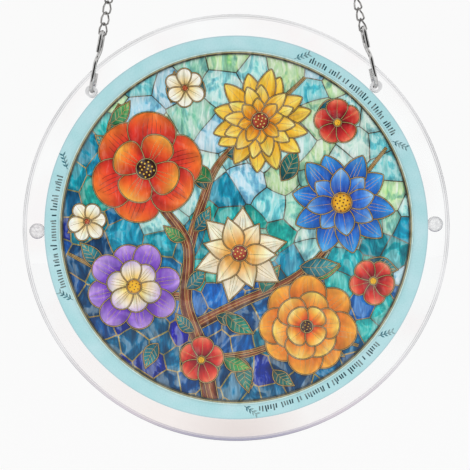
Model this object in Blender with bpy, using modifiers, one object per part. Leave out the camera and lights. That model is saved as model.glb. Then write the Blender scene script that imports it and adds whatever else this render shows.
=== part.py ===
"""Round clear suncatcher with a printed front, hung by two curb chains from a ring.

The origin is the inner top of the hanging ring, where a hook or a nail carries it.
The disc hangs below, in the XZ plane, with its printed front towards -Y.
"""

import math

import bmesh
import bpy
from mathutils import Matrix, Vector

# Clear disc
DISC_DIAMETER = 0.150
DISC_THICKNESS = 0.004
DISC_EDGE_BEVEL = 0.0005
HOLE_WALL = 0.0032
HOLE_SLACK = 0.0017
HOLE_ANGLE = math.radians(45.8)

# Printed panel on the front
PRINT_THICKNESS = 0.0003
PRINT_HOLE_MARGIN = 0.0007

# Clear pads on the back
BUMPER_DIAMETER = 0.0055
BUMPER_HEIGHT = 0.0020
BUMPER_EDGE_MARGIN = 0.0017
BUMPER_DRAFT = 0.0004

# S-hooks
HOOK_WIRE = 0.0014
HOOK_DISC_CLEARANCE = 0.0006
HOOK_BACK_TIP = 0.0036
HOOK_FRONT_TIP = 0.0055
HOOK_CROSSING = 0.0100
HOOK_EYE_SLACK = 0.0023

# Curb chains
CHAIN_WIRE = 0.0007
LINK_PITCH = 0.0039
LINK_SLACK = 0.0006
LINKS_PER_CHAIN = 58
LINK_TWIST = math.radians(45.0)
LINK_TURN = math.radians(30.0)

# Hanging ring
RING_INNER_DIAMETER = 0.010
RING_WIRE = 0.0012

# Gap that pieces keep where they touch
TOUCH_GAP = 0.0003

# Facets
DISC_SEGMENTS = 64
HOLE_SEGMENTS = 12
BUMPER_SEGMENTS = 16
ARC_STEPS = 6
CROSSING_STEPS = 5
RING_SEGMENTS = 24
RING_SIDES = 6
LINK_CORNERS = 8
LINK_SIDES = 4

# Sizes that follow from the ones above
disc_radius = DISC_DIAMETER / 2
bottom_curl = DISC_THICKNESS / 2 + HOOK_DISC_CLEARANCE + HOOK_WIRE / 2
curl_inside = bottom_curl - HOOK_WIRE / 2
curl_outside = bottom_curl + HOOK_WIRE / 2
curl_rise_at_faces = math.sqrt(curl_inside**2 - (DISC_THICKNESS / 2) ** 2)
hole_radius = (curl_outside - curl_rise_at_faces + HOLE_SLACK) / 2
hole_distance = disc_radius - HOLE_WALL - hole_radius
hole_across = hole_distance * math.sin(HOLE_ANGLE)
hole_above_centre = hole_distance * math.cos(HOLE_ANGLE)
print_radius = hole_distance - hole_radius - PRINT_HOLE_MARGIN
bumper_across = disc_radius - BUMPER_EDGE_MARGIN - BUMPER_DIAMETER / 2
thickest_wire = max(HOOK_WIRE, RING_WIRE, CHAIN_WIRE)
link_half_width = (thickest_wire + LINK_SLACK + CHAIN_WIRE) / 2
link_half_length = (LINK_PITCH + CHAIN_WIRE) / 2
link_side_angle = 2 * math.pi / LINK_SIDES
link_wire_radius = CHAIN_WIRE / 2 * math.sqrt(link_side_angle / math.sin(link_side_angle))
link_width = 2 * link_half_width + CHAIN_WIRE
chain_length = (LINKS_PER_CHAIN - 1) * LINK_PITCH + 2 * link_half_length
ring_radius = (RING_INNER_DIAMETER + RING_WIRE) / 2
top_curl = (CHAIN_WIRE + HOOK_EYE_SLACK + HOOK_WIRE) / 2


def rim_rise(lean):
    """Return how far up a strand its line leaves the disc, from the hole's centre."""
    outward = hole_above_centre * math.cos(lean) - hole_across * math.sin(lean)
    return math.sqrt(outward**2 + disc_radius**2 - hole_distance**2) - outward


def hook_heights(lean):
    """Return the heights of an S-hook's bends along its strand, from the hole's centre."""
    seat = hole_radius - TOUCH_GAP + curl_rise_at_faces
    crossing_start = rim_rise(lean) + TOUCH_GAP
    eye = crossing_start + HOOK_CROSSING
    return seat, crossing_start, eye


def link_seat(lean):
    """Return the height of the lowest link's bottom wire along its strand."""
    eye = hook_heights(lean)[2]
    return eye + top_curl - HOOK_WIRE / 2 - TOUCH_GAP - CHAIN_WIRE / 2


def ring_seat():
    """Return the point of the ring's wire that the right chain hangs on."""
    across = link_width / 2
    drop = math.sqrt(ring_radius**2 - across**2)
    return Vector((across, 0.0, -RING_INNER_DIAMETER / 2 - drop))


def hang():
    """Return the strands' lean and the height of the hanging holes.

    The lean and the height where the hook clears the rim depend on each other,
    so the lean is found by repeating the step until it holds still.
    """
    seat = ring_seat()
    wire_gap = RING_WIRE / 2 + TOUCH_GAP + CHAIN_WIRE / 2
    lean = 0.0
    for _ in range(40):
        strand = link_seat(lean) + chain_length - wire_gap
        lean = math.asin((hole_across - seat.x) / strand)
    return lean, seat.z - strand * math.cos(lean)


strand_lean, hole_height = hang()
disc_height = hole_height - hole_above_centre


def new_collection(name):
    """Add a collection to the scene and return it."""
    collection = bpy.data.collections.new(name)
    bpy.context.scene.collection.children.link(collection)
    return collection


def new_material(name, colour, roughness, metallic=0.0, alpha=1.0, transmission=0.0):
    """Return a Principled material."""
    material = bpy.data.materials.new(name)
    material.use_nodes = True
    shader = material.node_tree.nodes["Principled BSDF"]
    shader.inputs["Base Color"].default_value = (*colour, 1.0)
    shader.inputs["Roughness"].default_value = roughness
    shader.inputs["Metallic"].default_value = metallic
    shader.inputs["Alpha"].default_value = alpha
    shader.inputs["Transmission Weight"].default_value = transmission
    return material


def keep(obj, name, collection, parent, material=None):
    """Name an object, move it to its collection and parent, and give it a material."""
    obj.name = name
    obj.data.name = name
    for other in list(obj.users_collection):
        other.objects.unlink(obj)
    collection.objects.link(obj)
    obj.parent = parent
    if material:
        obj.data.materials.append(material)
    return obj


def new_empty(name, collection, parent=None, location=(0, 0, 0), rotation=(0, 0, 0)):
    """Add an empty that pieces are parented to."""
    empty = bpy.data.objects.new(name, None)
    empty.empty_display_size = 0.01
    empty.location = location
    empty.rotation_euler = rotation
    empty.parent = parent
    collection.objects.link(empty)
    return empty


def add_cylinder(radius, depth, segments, location):
    """Add a cylinder whose axis runs from front to back, along Y."""
    bpy.ops.mesh.primitive_cylinder_add(
        vertices=segments, radius=radius, depth=depth,
        location=location, rotation=(math.pi / 2, 0, 0),
    )
    return bpy.context.object


def smooth(obj, angle=35.0):
    """Shade a mesh smooth, with its sharp edges kept."""
    obj.data.shade_smooth()
    obj.data.set_sharp_from_angle(angle=math.radians(angle))


def make_disc(parts, cutters, parent, material):
    """Make the clear disc with bevelled edges and its two hanging holes."""
    disc = add_cylinder(disc_radius, DISC_THICKNESS, DISC_SEGMENTS, (0, 0, disc_height))
    keep(disc, "acrylic_disc", parts, parent, material)
    bevel = disc.modifiers.new("polished_edge", "BEVEL")
    bevel.width = DISC_EDGE_BEVEL
    bevel.segments = 1
    bevel.limit_method = "ANGLE"
    for side, name in ((-1, "left"), (1, "right")):
        hole = add_cylinder(
            hole_radius, 2 * DISC_THICKNESS, HOLE_SEGMENTS, (side * hole_across, 0, hole_height)
        )
        keep(hole, f"{name}_hole_cutter", cutters, parent)
        hole.hide_render = True
        hole.display_type = "WIRE"
        cut = disc.modifiers.new(f"{name}_hole", "BOOLEAN")
        cut.operation = "DIFFERENCE"
        cut.object = hole
    smooth(disc)


def make_printed_panel(parts, parent, material):
    """Make the thin printed sheet on the disc's front."""
    front = -(DISC_THICKNESS / 2 + TOUCH_GAP + PRINT_THICKNESS / 2)
    panel = add_cylinder(print_radius, PRINT_THICKNESS, DISC_SEGMENTS, (0, front, disc_height))
    keep(panel, "printed_panel", parts, parent, material)
    smooth(panel)


def make_bumper(side, name, parts, parent, material):
    """Turn one clear pad, wider where it sticks to the disc's back."""
    base = BUMPER_DIAMETER / 2
    profile = (
        (0.0, BUMPER_HEIGHT),
        (base - BUMPER_DRAFT, BUMPER_HEIGHT),
        (base, BUMPER_HEIGHT / 2),
        (base, 0.0),
        (0.0, 0.0),
    )
    mesh = bpy.data.meshes.new(name)
    mesh.from_pydata([(x, 0, z) for x, z in profile], [(i, i + 1) for i in range(len(profile) - 1)], [])
    bumper = bpy.data.objects.new(name, mesh)
    parts.objects.link(bumper)
    keep(bumper, name, parts, parent, material)
    bumper.location = (side * bumper_across, DISC_THICKNESS / 2 + TOUCH_GAP, disc_height)
    bumper.rotation_euler = (-math.pi / 2, 0, 0)
    turn = bumper.modifiers.new("turned", "SCREW")
    turn.steps = BUMPER_SEGMENTS
    turn.render_steps = BUMPER_SEGMENTS
    turn.use_merge_vertices = True
    turn.merge_threshold = 0.0001


def arc(radius, height, start, end):
    """Return points on an arc in a hook's plane, with angles from straight back, upwards."""
    angles = [start + (end - start) * i / ARC_STEPS for i in range(ARC_STEPS + 1)]
    return [(0.0, radius * math.cos(a), height + radius * math.sin(a)) for a in angles]


def hook_points():
    """Return an S-hook's centre line, from the tip behind the disc to the front tip."""
    seat, crossing_start, eye = hook_heights(strand_lean)
    crossing_end = eye - HOOK_FRONT_TIP / 2
    points = [(0.0, bottom_curl, seat + HOOK_BACK_TIP)]
    points += arc(bottom_curl, seat, 0.0, -math.pi)
    for i in range(CROSSING_STEPS + 1):
        share = i / CROSSING_STEPS
        ease = (1 - math.cos(math.pi * share)) / 2
        across = -bottom_curl + (bottom_curl + top_curl) * ease
        points.append((0.0, across, crossing_start + (crossing_end - crossing_start) * share))
    points += arc(top_curl, eye, 0.0, math.pi)
    points.append((0.0, -top_curl, eye - HOOK_FRONT_TIP))
    return points


def make_hook(name, parts, parent, material):
    """Bend one S-hook from round wire."""
    points = hook_points()
    curve = bpy.data.curves.new(name, "CURVE")
    curve.dimensions = "3D"
    curve.bevel_depth = HOOK_WIRE / 2
    curve.bevel_resolution = 1
    curve.use_fill_caps = True
    spline = curve.splines.new("POLY")
    spline.points.add(len(points) - 1)
    for point, place in zip(spline.points, points):
        point.co = (*place, 1.0)
        point.radius = 1.0
    spline.use_smooth = True
    hook = bpy.data.objects.new(name, curve)
    parts.objects.link(hook)
    keep(hook, name, parts, parent, material)


def link_mesh():
    """Shape one curb link from a ring: stretched to a long loop, then twisted end to end."""
    corner = math.pi / LINK_CORNERS
    bpy.ops.mesh.primitive_torus_add(
        major_segments=LINK_CORNERS, minor_segments=LINK_SIDES,
        major_radius=link_half_width / math.cos(corner),
        minor_radius=link_wire_radius,
    )
    ring = bpy.context.object
    ring.data.transform(Matrix.Rotation(math.pi / 2, 4, "X") @ Matrix.Rotation(corner, 4, "Z"))
    stretch = link_half_length - link_half_width
    for vertex in ring.data.vertices:
        vertex.co.z += math.copysign(stretch, vertex.co.z)
        angle = LINK_TWIST * vertex.co.z / link_half_length
        vertex.co = Matrix.Rotation(angle, 3, "Z") @ vertex.co
    mesh = ring.data
    bpy.data.objects.remove(ring)
    return mesh


def join_links(name, link, places):
    """Return one mesh with a link at each place."""
    joined = bmesh.new()
    for place in places:
        start = len(joined.verts)
        joined.from_mesh(link)
        joined.verts.ensure_lookup_table()
        bmesh.ops.transform(joined, matrix=place, verts=joined.verts[start:])
    mesh = bpy.data.meshes.new(name)
    joined.to_mesh(mesh)
    joined.free()
    return mesh


def make_chain(name, link, parts, cutters, parent, material):
    """Fuse a chain: every second link in one mesh, and the links between joined on where they touch."""
    first = link_seat(strand_lean) + link_half_length
    places = []
    for i in range(LINKS_PER_CHAIN):
        height = Matrix.Translation((0, 0, first + i * LINK_PITCH))
        places.append(height @ Matrix.Rotation(LINK_TURN, 4, "Z"))
    chain = bpy.data.objects.new(name, join_links(name, link, places[0::2]))
    between = bpy.data.objects.new(name, join_links(name, link, places[1::2]))
    parts.objects.link(chain)
    cutters.objects.link(between)
    keep(chain, name, parts, parent, material)
    keep(between, f"{name}_links_between", cutters, parent)
    between.hide_render = True
    between.display_type = "WIRE"
    fuse = chain.modifiers.new("fused_links", "BOOLEAN")
    fuse.operation = "UNION"
    fuse.object = between


def make_ring(parts, parent, material):
    """Make the round hanging ring, facing the front like the disc."""
    bpy.ops.mesh.primitive_torus_add(
        major_segments=RING_SEGMENTS, minor_segments=RING_SIDES,
        major_radius=ring_radius, minor_radius=RING_WIRE / 2,
        location=(0, 0, -RING_INNER_DIAMETER / 2), rotation=(math.pi / 2, 0, 0),
    )
    ring = keep(bpy.context.object, "hanging_ring", parts, parent, material)
    smooth(ring, 60.0)


def main():
    """Build the suncatcher in an empty scene."""
    for obj in list(bpy.data.objects):
        bpy.data.objects.remove(obj)
    parts = new_collection("suncatcher")
    cutters = new_collection("suncatcher_cutters")
    acrylic = new_material("clear_acrylic", (0.97, 0.98, 0.99), 0.04, alpha=0.35, transmission=1.0)
    printed = new_material("printed_film", (0.10, 0.42, 0.50), 0.20)
    silicone = new_material("clear_silicone", (0.86, 0.88, 0.90), 0.15, alpha=0.5, transmission=0.8)
    steel = new_material("plated_steel", (0.62, 0.62, 0.62), 0.22, metallic=1.0)

    whole = new_empty("suncatcher_origin", parts)
    make_disc(parts, cutters, whole, acrylic)
    make_printed_panel(parts, whole, printed)
    link = link_mesh()
    for side, name in ((-1, "left"), (1, "right")):
        make_bumper(side, f"{name}_bumper", parts, whole, silicone)
        strand = new_empty(
            f"{name}_strand", parts, whole,
            (side * hole_across, 0, hole_height), (0, -side * strand_lean, 0),
        )
        make_hook(f"{name}_s_hook", parts, strand, steel)
        make_chain(f"{name}_chain", link, parts, cutters, strand, steel)
    make_ring(parts, whole, steel)


main()
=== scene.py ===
"""Looks of a round clear suncatcher with a stained-glass style print, hung by two curb chains.

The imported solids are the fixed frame. Lengths are in metres, except in the flat picture,
which is laid out in millimetres from the disc's centre: across to the right, and up.
"""

import math
import random

import bpy
from mathutils import Matrix, Vector


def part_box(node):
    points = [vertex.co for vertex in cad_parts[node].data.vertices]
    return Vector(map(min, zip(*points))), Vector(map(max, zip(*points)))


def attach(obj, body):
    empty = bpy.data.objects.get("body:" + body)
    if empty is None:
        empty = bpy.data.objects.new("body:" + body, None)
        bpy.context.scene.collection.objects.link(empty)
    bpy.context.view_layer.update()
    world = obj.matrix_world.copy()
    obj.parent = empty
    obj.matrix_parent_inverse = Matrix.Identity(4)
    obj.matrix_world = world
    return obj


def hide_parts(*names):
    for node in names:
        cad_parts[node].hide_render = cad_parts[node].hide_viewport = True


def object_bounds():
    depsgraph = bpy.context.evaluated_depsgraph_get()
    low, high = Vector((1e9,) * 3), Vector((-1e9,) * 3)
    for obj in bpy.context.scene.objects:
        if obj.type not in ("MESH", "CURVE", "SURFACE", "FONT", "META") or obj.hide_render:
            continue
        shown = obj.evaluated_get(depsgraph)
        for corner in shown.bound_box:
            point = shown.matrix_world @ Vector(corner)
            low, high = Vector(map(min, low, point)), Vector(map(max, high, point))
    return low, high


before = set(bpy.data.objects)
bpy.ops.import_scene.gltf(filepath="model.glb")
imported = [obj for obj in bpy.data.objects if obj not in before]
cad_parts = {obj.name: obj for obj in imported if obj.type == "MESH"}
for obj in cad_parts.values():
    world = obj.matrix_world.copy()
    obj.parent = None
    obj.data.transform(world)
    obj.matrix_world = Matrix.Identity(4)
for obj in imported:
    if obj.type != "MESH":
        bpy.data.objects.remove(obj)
cad_low, cad_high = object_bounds()

MM = 0.001

# Camera, fitted to the 470 x 470 photograph
FRAME_PIXELS = 470
DISC_PIXEL_CENTRE = (236.3, 227.5)
DISC_PIXEL_RADIUS = 214.2
CAMERA_DISTANCE = 0.300
CAMERA_ROLL = math.radians(-1.0)
SENSOR_WIDTH = 36.0

# Studio
FLOOR_DROP = 0.28
FLOOR_RADIUS = 12.0
FRONT_FLAG = (-0.42, -0.80)
REAR_FLAG = (0.82, 0.94)
FLAG_LIGHT = 0.03
CEILING_EDGE = (0.27, 0.38)
THROUGH_GLASS_LIGHT = 2.6
CLEAR_VIEW_LIGHT = 1.06

# Clear disc and its pads
EDGE_ROUND = 1.1 * MM
EDGE_STEPS = 5
HOLE_CHAMFER = 0.9 * MM
DRILL_REACH = 0.5 * MM
DISC_SEGMENTS = 256
HOLE_SEGMENTS = 40
PAD_ROUND = 0.6 * MM
PAD_SEGMENTS = 48

# Wire parts, as the solids have them
HOOK_WIRE = 1.4 * MM
HOOK_DISC_CLEARANCE = 0.6 * MM
HOOK_BACK_TIP = 3.6 * MM
HOOK_FRONT_TIP = 5.5 * MM
HOOK_CROSSING = 10.0 * MM
HOOK_EYE_SLACK = 2.3 * MM
HOOK_TRIM = 0.1 * MM
ARC_STEPS = 14
CROSSING_STEPS = 12
CHAIN_WIRE = 0.7 * MM
LINK_PITCH = 3.9 * MM
LINK_SLACK = 0.6 * MM
LINKS_PER_CHAIN = 58
LINK_TWIST = math.radians(45.0)
LINK_TURN = math.radians(30.0)
LINK_CORNERS = 14
LINK_SIDES = 6
RING_WIRE = 1.2 * MM
RING_CORNERS = 72
RING_SIDES = 16
TOUCH_GAP = 0.3 * MM

# Flat picture, in millimetres
PICTURE_RADIUS = 61.0
FRONT_STEP = 0.0060
BACK_STEP = 0.0038
LINE_DARK = 0.54
LINE_GOLD = 0.15
MARBLE_PANES = 0.9
MARBLE_REST = 0.3

# Places read from the frame
disc_low, disc_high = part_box("acrylic_disc")
disc_centre = (disc_low + disc_high) / 2
disc_radius = (disc_high.x - disc_low.x) / 2
half_thickness = (disc_high.y - disc_low.y) / 2
panel_low, panel_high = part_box("printed_panel")
print_radius = (panel_high.x - panel_low.x) / 2
ring_low, ring_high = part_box("hanging_ring")


def read_hole(side):
    """Return the centre and radius of one hanging hole, read from the disc's solid."""
    rim = [
        v.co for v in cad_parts["acrylic_disc"].data.vertices
        if v.co.x * side > 0 and (v.co - disc_centre).xz.length < 0.97 * disc_radius
    ]
    across = [co.x for co in rim]
    up = [co.z for co in rim]
    centre = Vector(((min(across) + max(across)) / 2, disc_centre.y, (min(up) + max(up)) / 2))
    return centre, (max(up) - min(up)) / 2


hole_centre, hole_radius = read_hole(1)


# Small helpers

def linear(code):
    """Turn an sRGB hex code to linear colour."""
    parts = [int(code[i:i + 2], 16) / 255 for i in (1, 3, 5)]
    return tuple(p / 12.92 if p <= 0.04045 else ((p + 0.055) / 1.055) ** 2.4 for p in parts)


def rgba(code):
    """Turn an sRGB hex code to a linear colour with full alpha."""
    return (*linear(code), 1.0)


def settle_node(made, settings):
    """Give a node its settings and links.

    Settings name properties, or else inputs, by name or number. An output given as a value is
    linked.
    """
    for name, value in settings.items():
        if isinstance(name, str) and hasattr(made, name):
            setattr(made, name, value)
        elif isinstance(value, bpy.types.NodeSocket):
            made.id_data.links.new(value, made.inputs[name])
        else:
            made.inputs[name].default_value = value
    return made


def node(tree, kind, settings):
    """Add a node with its settings and links."""
    return settle_node(tree.nodes.new(kind), settings)


def new_material(name, settings):
    """Return a material, its node tree and its Principled shader with plain values set."""
    material = bpy.data.materials.new(name)
    material.use_nodes = True
    shader = settle_node(material.node_tree.nodes["Principled BSDF"], settings)
    return material, material.node_tree, shader


def add_object(name, data):
    """Add an object with its data to the scene."""
    made = bpy.data.objects.new(name, data)
    bpy.context.scene.collection.objects.link(made)
    return made


def select_only(obj):
    """Select one object and make it active."""
    bpy.ops.object.select_all(action="DESELECT")
    obj.select_set(True)
    bpy.context.view_layer.objects.active = obj


def settle(obj):
    """Put an object's place, turn and size into its mesh."""
    select_only(obj)
    bpy.ops.object.transform_apply(location=True, rotation=True, scale=True)


def apply_modifier(obj, kind, **settings):
    """Add a modifier, set it and apply it."""
    select_only(obj)
    modifier = obj.modifiers.new(kind.lower(), kind)
    for key, value in settings.items():
        setattr(modifier, key, value)
    bpy.ops.object.modifier_apply(modifier=modifier.name)


def finish_piece(obj, name, slot, *nodes):
    """Name a piece, hang it on the frame and hide the solids it stands for."""
    settle(obj)
    obj.name = name
    obj.data.name = name
    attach(obj, "root")
    if nodes:
        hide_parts(*nodes)
    return obj


def shade_smooth(obj, degrees=35.0):
    """Shade a piece smooth up to an angle between its faces."""
    select_only(obj)
    bpy.ops.object.shade_smooth_by_angle(angle=math.radians(degrees))


def even_flats(obj):
    """Keep flat faces flat where they meet rounded edges."""
    apply_modifier(obj, "WEIGHTED_NORMAL", weight=100, keep_sharp=True)


def add_drum(radius, depth, segments, centre):
    """Add a cylinder whose axis runs from front to back."""
    bpy.ops.object.select_all(action="DESELECT")
    bpy.ops.mesh.primitive_cylinder_add(
        vertices=segments, radius=radius, depth=depth, location=centre,
        rotation=(math.pi / 2, 0, 0),
    )
    drum = bpy.context.object
    settle(drum)
    return drum


# Material helpers

def millimetres(tree, scale=(1.0, 1.0, 1.0), turn=0.0, centre=(0.0, 0.0, 0.0)):
    """Return coordinates that are fixed to the piece, in millimetres from a centre."""
    place = node(tree, "ShaderNodeTexCoord", {}).outputs["Object"]
    moved = node(tree, "ShaderNodeVectorMath", {"operation": "SUBTRACT", 0: place, 1: centre})
    return node(tree, "ShaderNodeMapping", {
        "Scale": [s / MM for s in scale], "Rotation": (0.0, turn, 0.0), "Vector": moved.outputs[0],
    }).outputs[0]


def cloud(tree, size, vector, detail=3.0, distortion=0.0):
    """Return soft noise whose patches are about a size across, in millimetres."""
    return node(tree, "ShaderNodeTexNoise", {
        "Scale": 1.0 / size, "Detail": detail, "Distortion": distortion, "Vector": vector,
    }).outputs["Fac"]


def spread(tree, source, low, high, start=0.3, end=0.7):
    """Stretch a value's middle part to a new range."""
    return node(tree, "ShaderNodeMapRange", {
        "Value": source, "From Min": start, "From Max": end, "To Min": low, "To Max": high,
    }).outputs[0]


def calculate(tree, operation, *values):
    """Work out one sum of outputs and numbers."""
    return node(
        tree, "ShaderNodeMath", {"operation": operation, **dict(enumerate(values))}
    ).outputs[0]


def ramp(tree, source, *stops):
    """Turn a value to a colour by stops of place and hex code."""
    made = node(tree, "ShaderNodeValToRGB", {"Fac": source})
    while len(made.color_ramp.elements) < len(stops):
        made.color_ramp.elements.new(0.5)
    for element, (spot, code) in zip(made.color_ramp.elements, stops):
        element.position = spot
        element.color = rgba(code)
    return made.outputs["Color"]


def blend(tree, share, first, second, kind="MIX"):
    """Blend two colours by a share, which is a number or an output."""
    return node(tree, "ShaderNodeMix", {
        "data_type": "RGBA", "blend_type": kind, 0: share, 6: first, 7: second,
    }).outputs[2]


def relief(tree, shader, height, depth, strength=1.0):
    """Bump a shader by a height from 0 to 1, with a depth in metres."""
    bump = node(
        tree, "ShaderNodeBump", {"Strength": strength, "Distance": depth, "Height": height}
    )
    settle_node(shader, {"Normal": bump.outputs["Normal"]})


def from_point(tree, point):
    """Return the distance from a point as seen from the front, in millimetres."""
    place = millimetres(tree, (1.0, 0.0, 1.0), centre=point)
    return node(
        tree, "ShaderNodeVectorMath", {"operation": "LENGTH", 0: place}
    ).outputs["Value"]


# Materials

def cast_acrylic():
    """Cast acrylic sheet: water-clear, with a mirror-smooth face and a breath of rose tint. Near its
    foot it has a painted warm reflection to the left and painted shade, darker and mauve, below.
    """
    material, tree, shader = new_material("cast_acrylic", {
        "Roughness": 0.0, "IOR": 1.49, "Transmission Weight": 1.0,
    })
    tint = cloud(tree, 32.0, millimetres(tree), 2.0, 0.6)
    sheet = ramp(
        tree, tint, (0.35, "#FDFEFE"), (0.52, "#FBFBFB"), (0.62, "#FBF8F8"), (0.72, "#F8F8FA")
    )
    # Painted reflection and shade near the foot: a warm tint left of it, and a darker mauve tint
    # below.
    foot = disc_centre - Vector((0, 0, disc_radius + 2 * MM))
    beside = from_point(tree, foot - Vector((16 * MM, 0, 0)))
    warm_reflection = blend(tree, spread(tree, beside, 0.75, 0.0, 18.0, 56.0), sheet, rgba("#F8EFEB"))
    below = from_point(tree, foot)
    painted_shade_below = blend(tree, spread(tree, below, 0.85, 0.0, 6.0, 26.0), warm_reflection, rgba("#E8DEDB"))
    settle_node(shader, {"Base Color": painted_shade_below})
    relief(tree, shader, cloud(tree, 26.0, millimetres(tree), 1.0), 0.00002, 0.4)
    return material


def polished_edge():
    """Flame-polished acrylic edge: clear, with two painted grey reflection lines, a painted mauve
    reflection band and painted shade, darker and bluer, below.
    """
    material, tree, shader = new_material("polished_acrylic_edge", {
        "Roughness": 0.10, "IOR": 1.49, "Transmission Weight": 1.0,
    })
    reach = disc_radius / MM
    across = spread(tree, from_point(tree, disc_centre), 0.0, 1.0, reach - EDGE_ROUND / MM, reach)
    # Painted reflection: two grey lines across the rounded edge, crisper at the sides and broken by
    # paler patches.
    lines = ramp(
        tree, across, (0.0, "#BCBCBE"), (0.22, "#CECECF"), (0.42, "#F2F2F2"), (0.66, "#E8E8E9"),
        (0.86, "#BEBEC0"), (1.0, "#B4B4B8"),
    )
    crisp = ramp(
        tree, across, (0.0, "#B4B4B8"), (0.12, "#8C8C92"), (0.34, "#E4E4E6"), (0.50, "#F4F4F4"),
        (0.70, "#7C7C82"), (0.88, "#CACACC"), (1.0, "#C0C0C4"),
    )
    place = node(
        tree, "ShaderNodeSeparateXYZ", {"Vector": millimetres(tree, centre=disc_centre)}
    ).outputs
    aside = calculate(tree, "ABSOLUTE", place["X"])
    lines = blend(tree, spread(tree, aside, 0.0, 0.8, 48.0, 68.0), lines, crisp)
    around = cloud(tree, 24.0, millimetres(tree), 3.0)
    painted_edge_lines = blend(tree, spread(tree, around, 0.0, 0.55, 0.42, 0.62), lines, rgba("#F2F2F4"))
    # Painted reflection: a mauve band on the lower edge. Painted shade: a darker lavender grey at the
    # very bottom.
    mauve_reflection = spread(tree, place["Z"], 0.75, 0.0, -64.0, -42.0)
    painted_edge_lines = blend(tree, mauve_reflection, painted_edge_lines, blend(tree, 1.0, painted_edge_lines, rgba("#DCCFDC"), "MULTIPLY"))
    painted_shade_below = spread(tree, place["Z"], 0.9, 0.0, -74.2, -67.0)
    settle_node(shader, {"Base Color": blend(tree, painted_shade_below, painted_edge_lines, rgba("#A3A2B8"))})
    relief(tree, shader, cloud(tree, 1.6, millimetres(tree), 2.0), 0.00003, 0.5)
    return material


def drilled_acrylic():
    """Drilled acrylic wall: frosted by the bit in fine turns, flat grey and evenly lit.

    The clear sheet leads light to it from all sides. A faint white glow stands in for that light: it
    is painted light.
    """
    material, tree, shader = new_material("drilled_acrylic", {
        "Roughness": 0.85, "IOR": 1.3, "Transmission Weight": 0.0,
        # The emission is painted light, so that the wall looks evenly lit.
        "Emission Color": rgba("#FFFFFF"), "Emission Strength": 0.42,
    })
    frost = cloud(tree, 0.5, millimetres(tree), 4.0)
    settle_node(shader, {
        "Base Color": ramp(tree, frost, (0.35, "#8E8E90"), (0.65, "#9C9C9E")),
    })
    relief(tree, shader, cloud(tree, 0.4, millimetres(tree, (1.0, 3.0, 1.0))), 0.00002)
    return material


def milky_wall():
    """Disc's outer wall: polished but a little milky, with fine marks of the cutter across it."""
    material, tree, shader = new_material("milky_acrylic_wall", {
        "Roughness": 0.22, "IOR": 1.49, "Transmission Weight": 0.4,
    })
    marks = cloud(tree, 0.7, millimetres(tree, (1.0, 0.15, 1.0)))
    settle_node(shader, {
        "Base Color": ramp(tree, marks, (0.35, "#D9DBDF"), (0.65, "#F0F1F3")),
    })
    relief(tree, shader, marks, 0.00001)
    return material


def border_ink():
    """Light-blue ultraviolet-cured ink: satin gloss, faintly mottled, greyer at its cut edge."""
    material, tree, shader = new_material("light_blue_ink", {"IOR": 1.5})
    mottle = cloud(tree, 9.0, millimetres(tree), 4.0)
    tint = ramp(tree, mottle, (0.3, "#A9DBE0"), (0.5, "#B3DFE4"), (0.72, "#BEE3E9"))
    reach = print_radius / MM
    edge = spread(tree, from_point(tree, disc_centre), 0.0, 0.55, reach - 0.55, reach - 0.15)
    fine = cloud(tree, 0.5, millimetres(tree), 2.0)
    settle_node(shader, {
        "Base Color": blend(tree, edge, tint, rgba("#A4BFC8")),
        "Roughness": spread(tree, fine, 0.22, 0.34),
    })
    relief(tree, shader, fine, 0.000008, 0.6)
    return material


def picture_ink():
    """Printed glass picture: full colours under a gloss coat, with marbled and brushed streaks.

    The ink attribute's alpha says how much of the marbling a place shows.
    """
    material, tree, shader = new_material("picture_ink", {"IOR": 1.5})
    ink = node(tree, "ShaderNodeVertexColor", {"layer_name": "ink"}).outputs
    marble = cloud(tree, 8.5, millimetres(tree, (1.0, 1.0, 0.7), 0.6), 6.0, 2.4)
    brush = cloud(tree, 1.5, millimetres(tree, (1.0, 1.0, 0.22), -0.5), 4.0, 1.2)
    light = ramp(
        tree, marble, (0.28, "#4F86A6"), (0.42, "#B2D4DE"), (0.52, "#FFFFFF"), (0.64, "#CFE4E2"),
        (0.78, "#7FB0BE"),
    )
    glass = blend(tree, 0.85, ink["Color"], light, "MULTIPLY")
    wisp = spread(tree, marble, 0.0, 0.42, 0.46, 0.56)
    glass = blend(tree, wisp, glass, blend(tree, 0.5, ink["Color"], rgba("#F4FFFA"), "SCREEN"))
    strokes = ramp(tree, brush, (0.3, "#6E6E6E"), (0.5, "#BCBCBC"), (0.7, "#FFFFFF"))
    glass = blend(tree, 0.6, glass, strokes, "OVERLAY")
    glass = node(
        tree, "ShaderNodeHueSaturation", {"Saturation": 1.35, "Value": 0.96, "Color": glass}
    ).outputs["Color"]
    settle_node(shader, {
        "Base Color": blend(tree, ink["Alpha"], ink["Color"], glass),
        "Roughness": spread(tree, brush, 0.16, 0.30),
    })
    relief(tree, shader, brush, 0.00002, 0.5)
    return material


def plated_wire(name, dark, bright, roughness):
    """Nickel-plated steel wire: bright, with faint clouding and drawing marks."""
    material, tree, shader = new_material(name, {"Metallic": 1.0})
    dull = cloud(tree, 1.8, millimetres(tree), 4.0)
    settle_node(shader, {
        "Base Color": ramp(tree, dull, (0.35, dark), (0.65, bright)),
        "Roughness": spread(tree, dull, roughness * 1.4, roughness * 0.7),
    })
    marks = cloud(tree, 0.25, millimetres(tree, (1.0, 1.0, 0.15)), 2.0)
    relief(tree, shader, marks, 0.00001, 0.5)
    return material


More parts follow.
